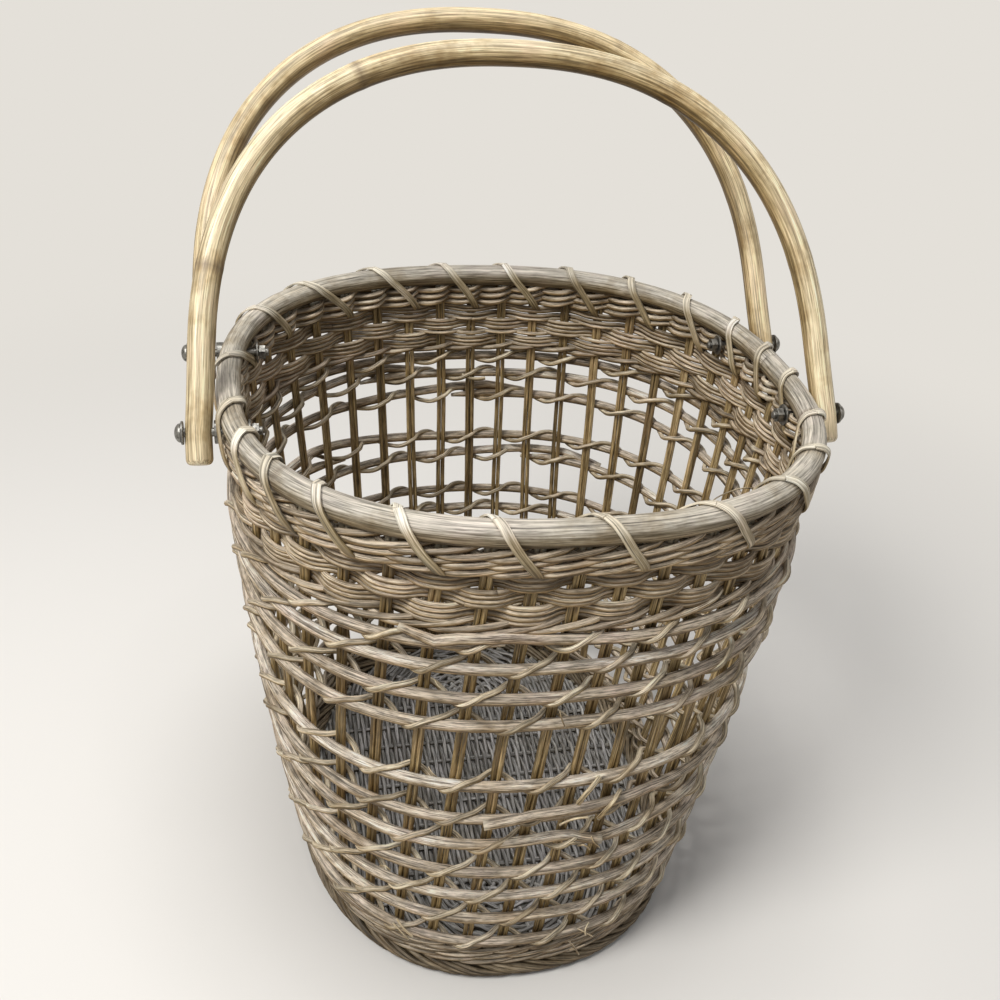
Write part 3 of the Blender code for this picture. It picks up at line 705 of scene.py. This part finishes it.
# Loose fibres and cut cane ends: diameter, then stake pair, height and distance out of each point, all
# lengths in millimetres
FRAYS = (
    (1.0, (-10.93, 299.3, 10), (-10.87, 293.9, 13), (-10.74, 285.1, 12)),
    (0.8, (-13.74, 324.0, 9), (-13.64, 322.0, 12), (-13.55, 318.8, 11)),
    (0.9, (-13.62, 243.0, 9), (-13.50, 241.0, 12), (-13.39, 236.5, 11)),
    (3.6, (-10.01, 209.1, 14), (-9.92, 217.9, 15), (-9.76, 224.9, 14), (-9.51, 228.0, 9)),
    (3.6, (-9.30, 186.0, 11), (-9.25, 196.4, 14), (-9.10, 204.5, 14), (-8.82, 208.8, 8)),
    (1.6, (-9.95, 161.7, 11), (-9.88, 167.0, 14), (-9.70, 163.4, 13)),
    (1.3, (-9.39, 168.6, 12), (-9.35, 165.2, 15), (-9.15, 156.6, 14)),
    (1.2, (-9.63, 156.0, 9), (-9.55, 161.2, 13), (-9.34, 153.7, 12)),
    (1.8, (-10.30, 186.6, 12), (-10.05, 196.1, 16), (-9.69, 195.7, 16)),
    (1.4, (-9.01, 53.4, 10), (-8.86, 52.1, 14), (-8.62, 45.8, 16)),
    (1.2, (-8.70, 56.9, 10), (-8.86, 55.9, 14), (-8.86, 50.7, 16)),
    (1.3, (-9.13, 36.3, 8), (-9.04, 33.9, 13), (-8.87, 24.8, 15)),
    (1.1, (-9.01, 23.1, 8), (-8.95, 31.3, 13), (-8.71, 32.5, 13)),
    (1.4, (-14.49, 122.4, 11), (-14.29, 132.7, 16), (-14.16, 128.6, 15)),
    (1.8, (-13.91, 62.4, 11), (-13.64, 60.9, 16), (-13.38, 55.9, 17)),
    (1.5, (-14.01, 54.5, 11), (-13.68, 54.5, 16), (-13.49, 49.3, 16)),
    (1.0, (-14.82, 344.5, 3), (-14.64, 345.4, 8), (-14.47, 343.3, 9)),
    (3.4, (11.29, 337.6, -3), (11.02, 335.3, -5), (10.75, 334.1, -5), (10.50, 335.1, -5)),
    (0.9, (-8.09, 433.0, -9), (-7.64, 436.7, -14), (-6.98, 435.8, -17), (-6.21, 429.5, -19),
     (-5.31, 417.0, -19)),
)


class BASKET_OT_frays(bpy.types.Operator):
    """Adds the loose fibres and the cut ends of old ties"""
    bl_idname = "basket.frays"
    bl_label = "Loose ends"

    def execute(self, context):
        rng = chance(140)
        finish = cane("split_rattan_fibres", shaded(colours().tie, 1.15), grey=0.2, spread=0.2)
        for number, (diameter, *stations) in enumerate(FRAYS, 1):
            steps = np.linspace(0, len(stations) - 1, (len(stations) - 1) * 5 + 1)
            pair, height, out = (curve_through(column, steps) for column in np.array(stations).T)
            made = canes(f"fray_{number:02d}", [beside(pair, height * MM, out * MM)], diameter * MM, rng,
                         resolution=1)
            place(made, "basket", finish, "lashing_cane")
        return {"FINISHED"}


class BASKET_OT_border(bpy.types.Operator):
    """Rolls the rods' ends into the braided border that the basket stands on"""
    bl_idname = "basket.border"
    bl_label = "Foot border"

    def execute(self, context):
        rng = chance(160)
        # Each rod runs once round the border's section while it passes 5.2 pairs
        share = np.linspace(0, 1, 34)
        turn = math.radians(200) - TURN * share
        rod = sizes().stake
        level, half_width, clearance = 7.2 * MM, 9.8 * MM, 0.1 * MM
        out = (half_width - rod / 2) * np.cos(turn)
        height = level + (level - rod / 2 - clearance) * np.sin(turn)
        runs = [beside(end / 2 + 5.2 * share + rng.uniform(-0.12, 0.12), height, out)
                for end in range(PAIRS * 2)]
        made = canes("foot_border", runs, rod, rng)
        finish = cane("border_reed", shaded(colours().weaver, 0.57), streak=0.55, grey=0.2, spread=0.5)
        place(made, "basket", finish, "stake_reed")
        middle = beside(np.linspace(0, PAIRS, PAIRS * 4), level)
        place(canes("foot_border_core", [middle], 7 * MM, rng), "basket", finish, "stake_reed")
        return {"FINISHED"}


BASE_LEVEL = 5.6 * MM
BASE_END = 107 * MM         # how far from the middle the weave turns round the ends of the long sticks
STICK, STICK_SPACING = 4.2 * MM, 25 * MM
CROSS_STICKS = 9
END_STICKS = 8
BASE_MARGIN = 9 * MM        # from the wall's foot to the edge of the base


def base_ring(radius):
    """Open line once round the base weave, with the count of sticks passed at each point."""
    straight = np.arange(-BASE_END, BASE_END, 4 * MM)
    arc = np.linspace(0, math.pi, max(10, round(math.pi * radius / (4 * MM))), endpoint=False)
    right = np.column_stack([np.full_like(straight, radius), straight])
    far = np.column_stack([radius * np.cos(arc), BASE_END + radius * np.sin(arc)])
    along = 0.5 + CROSS_STICKS / 2 + straight / STICK_SPACING
    turn = END_STICKS * arc / math.pi
    end = 0.5 + CROSS_STICKS / 2 + BASE_END / STICK_SPACING
    line = np.concatenate([right, far, -right, -far])
    half = CROSS_STICKS + END_STICKS
    passed = np.concatenate([along, end + turn])
    return line, np.concatenate([passed, passed + half])


def inside_foot(line):
    """Which points of a flat line lie on the base."""
    edge = wall(np.arctan2(line[:, 1], line[:, 0]), 0, -BASE_MARGIN)
    return np.linalg.norm(line, axis=1) < np.linalg.norm(edge[:, :2], axis=1)


class BASKET_OT_base(bpy.types.Operator):
    """Weaves the flat base round its crossed sticks"""
    bl_idname = "basket.base"
    bl_label = "Base"

    def execute(self, context):
        rng = chance(200)
        finish = cane("greyed_rattan", colours().base, fibre=0.9, grey=0.8, spread=0.35, roughness=0.7)
        made = canes("base_weave", self.weave(rng), sizes().base_weaver, rng, resolution=1)
        place(made, "basket", finish, "base_cane", ("base_weave_under", "base_weave_upper"))
        lines = [np.column_stack([line, np.full(len(line), BASE_LEVEL)]) for line in self.sticks()]
        place(canes("base_sticks", lines, STICK, rng), "basket", finish, "base_cane", ("base_slath",))
        return {"FINISHED"}

    def weave(self, rng):
        """Rings of cane over and under the sticks; the outer ones are cut off at the foot of the wall."""
        pitch = sizes().base_weaver * 1.06
        runs = []
        for ring in range(round(FOOT_HALF[0] / pitch)):
            line, passed = base_ring((ring + 0.5) * pitch)
            side = np.cos(math.pi * (passed + ring))
            height = BASE_LEVEL + 0.25 * MM + 3.5 * MM * side * np.abs(side) ** 1.2
            height += sway(rng, passed, 2 * (CROSS_STICKS + END_STICKS), 0.25 * MM)
            inside = inside_foot(line)
            points = np.column_stack([line, height])
            if inside.all():
                runs.append(np.vstack([points, points[:1]]))
            else:
                first = int(np.argmin(inside))
                inside, points = np.roll(inside, -first), np.roll(points, -first, axis=0)
                changes = np.flatnonzero(np.diff(inside.astype(int))) + 1
                runs += [part for part, kept in zip(np.split(points, changes), np.split(inside, changes))
                         if kept[0] and len(part) > 4]
        return runs

    def sticks(self):
        """Flat lines of the cross sticks, and of the sticks that fan out from both ends of the long ones."""
        lines = []
        for number in range(CROSS_STICKS):
            y = (number - (CROSS_STICKS - 1) / 2) * STICK_SPACING
            x = np.linspace(-FOOT_HALF[0], FOOT_HALF[0], 40)
            lines.append(np.column_stack([x, np.full_like(x, y)]))
        reach = np.linspace(1 * MM, FOOT_HALF[1], 60)
        for end in (-1, 1):
            for number in range(END_STICKS):
                angle = math.pi * (number + 0.5) / END_STICKS
                y = end * (BASE_END + reach * math.sin(angle))
                lines.append(np.column_stack([reach * math.cos(angle), y]))
        return [line[inside_foot(line)] for line in lines]


class BASKET_OT_rim(bpy.types.Operator):
    """Bends the pole round the mouth"""
    bl_idname = "basket.rim"
    bl_label = "Rim pole"

    def execute(self, context):
        rng = chance(240)
        pair = np.linspace(0.5, PAIRS + 0.5, PAIRS * 8 + 1)
        knots = np.array([6.1, 17.3, 26.4, 31.2, 36.8, 41.5])
        near = np.min(np.abs(pair[:, None] - knots), axis=1) * PAIR_SPACING
        finish = cane("peeled_rattan_pole", colours().rim, fibre=0.9, fibre_length=20, streak=0.42, grey=0.4,
                      spread=0.05, roughness=0.5, relief=0.35, crack=0.35)
        height = RIM_HEIGHT + sway(rng, pair, PAIRS, 0.8 * MM)
        made = canes("rim_pole_cane", [beside(pair, height)], sizes().rim, rng, resolution=8,
                     thickness=[1 + 0.03 * bump(near, 4 * MM)], marks=[0.5 * bump(near, 1.2 * MM)])
        place(made, "basket", finish, "rim_pole", ("rim_pole",))
        return {"FINISHED"}


# Stake pairs at which the lashing crosses the top of the rim pole; it was wound by hand, clear of the bolts
LASHING_TOPS = (-20.6, -19.3, -18.1, -16.7, -14.95, -13.0, -10.7, -8.15, -6.1, -4.4, -2.7, -0.6, 0.9, 2.5,
                4.3, 6.1, 7.95, 9.95, 11.9, 14.05, 16.3, 18.3, 21.1)


class BASKET_OT_lashing(bpy.types.Operator):
    """Lashes the rim pole to the wale with flat cane"""
    bl_idname = "basket.lashing"
    bl_label = "Rim lashing"

    def execute(self, context):
        rng = chance(280)
        # Pairs round from the top of the loop, distance out from the wall and height over the rim's middle;
        # inside the wall, shares of the way to the next loop's top take the place of the pairs
        outer = np.array([
            (0.0, 0.0, 10.2), (0.14, 5.0, 8.8), (0.27, 8.8, 5.0), (0.40, 10.3, 0), (0.56, 10.7, -7),
            (0.74, 10.8, -14), (0.92, 9.8, -21), (1.05, 6.4, -27.5), (1.0, 0.5, -29.5)])
        inner = np.array([
            (0.0, -5.2, -28), (0.12, -8.8, -21), (0.30, -10.1, -13), (0.52, -10.4, -5), (0.72, -10.0, 2.0),
            (0.88, -6.7, 7.8), (1.0, 0.0, 10.2)])
        outer_pairs = 0.92
        runs = []
        for top, following in zip(LASHING_TOPS, (*LASHING_TOPS[1:], LASHING_TOPS[0] + PAIRS)):
            spread = np.array([following - top - outer_pairs, 1, 1])
            stations = np.vstack([outer, inner * spread + [outer_pairs, 0, 0]])
            steps = np.linspace(0, len(stations) - 1, (len(stations) - 1) * 4 + 1)
            pair, out, rise = (curve_through(column, steps) for column in stations.T)
            points = beside(top + pair, RIM_HEIGHT + rise * MM, out * MM)
            centre = beside(top + pair, RIM_HEIGHT + np.clip(rise, -22, 0) * MM)
            runs.append((points, points - centre))
        made = ribbons("rim_lashing_cane", runs, sizes().lashing_width, sizes().lashing_thickness, rng)
        finish = cane("split_rattan_lashing", colours().lashing, fibre_length=20, streak=0.3, grey=0.4,
                      spread=0.2, roughness=0.5, patchy=0.5)
        place(made, "basket", finish, "lashing_cane", ("rim_lashing",))
        return {"FINISHED"}


HANDLE_JOINTS = {joint["child"]: Vector(joint["pos_m"]) for joint in frame["joints"]}
HANDLE_LEAN = math.radians(35)
HANDLE_RISE, HANDLE_LEG, HANDLE_FOOT = 265 * MM, 50 * MM, 22 * MM   # over and under the bolts
HANDLE_SPLAY = 8 * MM
HANDLE_SQUARENESS = 2.3
PACKED_POLE_RADIUS = 9.25 * MM


def handle_spread(height):
    """Distance of the pole's middle line from the middle of the handle, at a height over the bolts."""
    low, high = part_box("handle_front")
    share = np.clip(height / HANDLE_RISE, 0, 1)
    return (high.x - low.x) / 2 - PACKED_POLE_RADIUS - HANDLE_SPLAY * (1 - (1 - share) ** 3)


def pole_line():
    """Route of a handle pole in its own plane, bolts on the X axis."""
    turn = np.linspace(0, math.pi, 121)
    power = 2 / HANDLE_SQUARENESS
    height = HANDLE_LEG + (HANDLE_RISE - HANDLE_LEG) * np.sin(turn) ** power
    reach = handle_spread(height) * np.sign(np.cos(turn)) * np.abs(np.cos(turn)) ** power
    leg_height = np.concatenate([-HANDLE_FOOT + np.array([0, 0.4, 1.2, 2.6, 4, 12]) * MM,
                                 np.linspace(0, HANDLE_LEG * 0.9, 10)])
    leg = np.column_stack([handle_spread(np.clip(leg_height, 0, None)), leg_height])
    arch = np.column_stack([reach, height])
    line = np.concatenate([leg, arch, leg[::-1] * [-1, 1]])
    return np.column_stack([line[:, 0], np.zeros(len(line)), line[:, 1]])


class BASKET_OT_handles(bpy.types.Operator):
    """Bends the two handle poles"""
    bl_idname = "basket.handles"
    bl_label = "Handles"

    def execute(self, context):
        finish = cane("golden_rattan_pole", colours().pole, fibre=0.9, fibre_length=24, streak=0.34,
                      grey=0.2, spread=0.12, roughness=0.42, relief=0.25, specular=0.5, crack=0.4, patchy=1.1)
        line = pole_line()
        along = run_of(line)
        # Shares of the plain radius at the points where both ends of a pole are rounded over
        rounding = np.array([0.57, 0.76, 0.88, 0.97])
        for number, where in enumerate(("front", "rear")):
            rng = chance(320 + number)
            knots = np.array([0.16, 0.37, 0.63, 0.86]) * along[-1] + rng.uniform(-20, 20, 4) * MM
            near = np.min(np.abs(along[:, None] - knots), axis=1)
            thickness = 1 + 0.022 * bump(near, 3.5 * MM)
            thickness[:4] *= rounding
            thickness[-4:] *= rounding[::-1]
            joint = Matrix.Translation(HANDLE_JOINTS[f"{where}_handle"])
            turn = joint @ Matrix.Rotation(-HANDLE_LEAN, 4, "X")
            points = np.array([turn @ Vector(point) for point in line])
            made = canes(f"handle_{where}_pole", [points], sizes().handle, rng, resolution=8,
                         thickness=[thickness], marks=[0.55 * bump(near, 1.0 * MM)])
            place(made, f"{where}_handle", finish, "bent_pole", (f"handle_{where}",))
        return {"FINISHED"}


class BASKET_OT_fasteners(bpy.types.Operator):
    """Turns the bolts, washers and nuts of both handles"""
    bl_idname = "basket.fasteners"
    bl_label = "Bolts and nuts"

    def execute(self, context):
        finish = steel()
        for where in ("front_left", "front_right", "rear_left", "rear_right"):
            side = 1 if where.endswith("right") else -1
            for kind in ("bolt", "outer_washer", "packing_washer", "inner_washer", "nut"):
                node = f"{kind}_{where}"
                low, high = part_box(node)
                centre = Vector((0, (low.y + high.y) / 2, (low.z + high.z) / 2))
                start, end = sorted((abs(low.x), abs(high.x)))
                made = turned(f"{node}_steel", self.profile(kind, start, end), side, centre,
                              6 if kind == "nut" else 32)
                place(made, "basket", finish, "bright_steel", (node,))
        return {"FINISHED"}

    def profile(self, kind, start, end):
        """Half section of a domed bolt, washer or nut, between two distances from the middle plane."""
        if kind == "bolt":
            shank, crown, dome, bevel = 3 * MM, 6.5 * MM, 4 * MM, 0.6 * MM
            under = end - dome
            head = [(crown * math.sin(turn), under + dome * math.cos(turn))
                    for turn in np.linspace(0, math.pi / 2, 8)]
            head[0] = (0, end)
            return head + [(crown, under), (shank, under), (shank, start + bevel), (shank - bevel, start),
                           (0, start)]
        hole, edge, bevel = 3.3 * MM, (5.75 if kind == "nut" else 8) * MM, 0.3 * MM
        return [(hole, start), (edge - bevel, start), (edge, start + bevel), (edge, end - bevel),
                (edge - bevel, end), (hole, end)]


# Stage, in metres, watts and degrees

FLOOR_RADIUS = 40
BACKDROP_START, BACKDROP_END = 0.45, 1.3    # where the floor's shading gives way to its plain colour
LAMPS = (("key", (-1.2, -0.7, 2.1), 0.9, 39), ("top", (-0.1, 0.1, 2.6), 1.0, 22))   # place, size and power
LAMP_TARGET = Vector((0, 0, 0.25))
SKY, SKY_STRENGTH = (0.93, 0.95, 1.0), 0.34
CAMERA_PLACE = Vector((-0.185506, -0.69411, 0.799552))
CAMERA_AZIMUTH, CAMERA_PITCH, CAMERA_ROLL = -14.557, 33.41, 5.525
CAMERA_LENS = 38.88


class BASKET_OT_stage(bpy.types.Operator):
    """Sets the floor, the soft light and the camera"""
    bl_idname = "basket.stage"
    bl_label = "Stage"

    def execute(self, context):
        scene = context.scene
        scene.view_settings.view_transform = "Standard"
        bm = bmesh.new()
        bmesh.ops.create_circle(bm, cap_ends=True, segments=96, radius=FLOOR_RADIUS)
        floor = link(bpy.data.objects.new("floor", mesh_from(bm, "floor")))
        floor.data.materials.append(self.paint())
        scene.world = self.surroundings()
        for lamp in LAMPS:
            self.lamp(*lamp)
        scene.camera = self.camera()
        return {"FINISHED"}

    def paint(self):
        """Plain pale paint, which far from the basket shows its colour alone, as a lit backdrop does."""
        made, tree, shader = started("matt_floor_paint")
        feed(tree, shader.inputs["Base Color"], colours().floor)
        feed(tree, shader.inputs["Roughness"], 0.8)
        where = add(tree, "ShaderNodeTexCoord").outputs["Object"]
        away = add(tree, "ShaderNodeVectorMath", {0: where}, operation="LENGTH")
        far = add(tree, "ShaderNodeMapRange",
                  {"Value": away, "From Min": BACKDROP_START, "From Max": BACKDROP_END},
                  interpolation_type="SMOOTHSTEP")
        share = add(tree, "ShaderNodeMath", {0: far, 1: self.seen(tree)}, operation="MULTIPLY")
        backdrop = add(tree, "ShaderNodeEmission", {"Color": colours().floor})
        both = add(tree, "ShaderNodeMixShader", {0: share, 1: shader, 2: backdrop})
        feed(tree, tree.nodes["Material Output"].inputs["Surface"], both)
        return made

    def surroundings(self):
        """Soft light from all round, with the floor's own colour behind it wherever it is seen."""
        world = bpy.data.worlds.new("studio")
        world.use_nodes = True
        tree = world.node_tree
        light = tree.nodes["Background"]
        feed(tree, light.inputs["Color"], SKY)
        feed(tree, light.inputs["Strength"], SKY_STRENGTH)
        backdrop = add(tree, "ShaderNodeBackground", {"Color": colours().floor})
        both = add(tree, "ShaderNodeMixShader", {0: self.seen(tree), 1: light, 2: backdrop})
        feed(tree, tree.nodes["World Output"].inputs["Surface"], both)
        return world

    def seen(self, tree):
        """1 where the camera or a shiny surface looks, and 0 where only light is gathered."""
        path = add(tree, "ShaderNodeLightPath")
        kinds = {0: path.outputs["Is Camera Ray"], 1: path.outputs["Is Glossy Ray"]}
        return add(tree, "ShaderNodeMath", kinds, operation="MAXIMUM")

    def lamp(self, name, position, size, power):
        light = bpy.data.lights.new(name, "AREA")
        light.shape = "DISK"
        light.size = size
        light.energy = power
        lamp = link(bpy.data.objects.new(name, light))
        lamp.location = position
        lamp.rotation_mode = "QUATERNION"
        lamp.rotation_quaternion = (LAMP_TARGET - lamp.location).to_track_quat("-Z", "Y")

    def camera(self):
        """A camera at the photograph's angle."""
        azimuth, pitch, roll = map(math.radians, (CAMERA_AZIMUTH, CAMERA_PITCH, CAMERA_ROLL))
        level = Vector((math.sin(azimuth), -math.cos(azimuth), 0))
        back = level * math.cos(pitch) + Vector((0, 0, math.sin(pitch)))
        right = (-back).cross(Vector((0, 0, 1))).normalized()
        up = back.cross(right)
        across = right * math.cos(roll) + up * math.sin(roll)
        upward = up * math.cos(roll) - right * math.sin(roll)
        lens = bpy.data.cameras.new("camera")
        lens.lens = CAMERA_LENS
        camera = link(bpy.data.objects.new("camera", lens))
        turn = Matrix((across, upward, back)).transposed().to_4x4()
        camera.matrix_world = Matrix.Translation(CAMERA_PLACE) @ turn
        return camera


BUILDERS = (
    BASKET_OT_stakes, BASKET_OT_base, BASKET_OT_border, BASKET_OT_wales, BASKET_OT_weave, BASKET_OT_hoops,
    BASKET_OT_ties, BASKET_OT_frays, BASKET_OT_rim, BASKET_OT_lashing, BASKET_OT_handles,
    BASKET_OT_fasteners, BASKET_OT_stage,
)


class BASKET_PT_panel(bpy.types.Panel):
    bl_idname = "BASKET_PT_panel"
    bl_label = "Wicker basket"
    bl_space_type = "VIEW_3D"
    bl_region_type = "UI"
    bl_category = "Basket"

    def draw(self, context):
        for group in (context.scene.basket_sizes, context.scene.basket_colours):
            box = self.layout.box()
            for name in group.__annotations__:
                box.prop(group, name)
        for builder in BUILDERS:
            self.layout.operator(builder.bl_idname)


CLASSES = (BasketSizes, BasketColours, *BUILDERS, BASKET_PT_panel)


def register():
    for item in CLASSES:
        bpy.utils.register_class(item)
    bpy.types.Scene.basket_sizes = PointerProperty(type=BasketSizes)
    bpy.types.Scene.basket_colours = PointerProperty(type=BasketColours)


def unregister():
    del bpy.types.Scene.basket_colours
    del bpy.types.Scene.basket_sizes
    for item in reversed(CLASSES):
        bpy.utils.unregister_class(item)


def main():
    register()
    for builder in BUILDERS:
        group, name = builder.bl_idname.split(".")
        getattr(getattr(bpy.ops, group), name)()


if __name__ == "__main__":
    main()
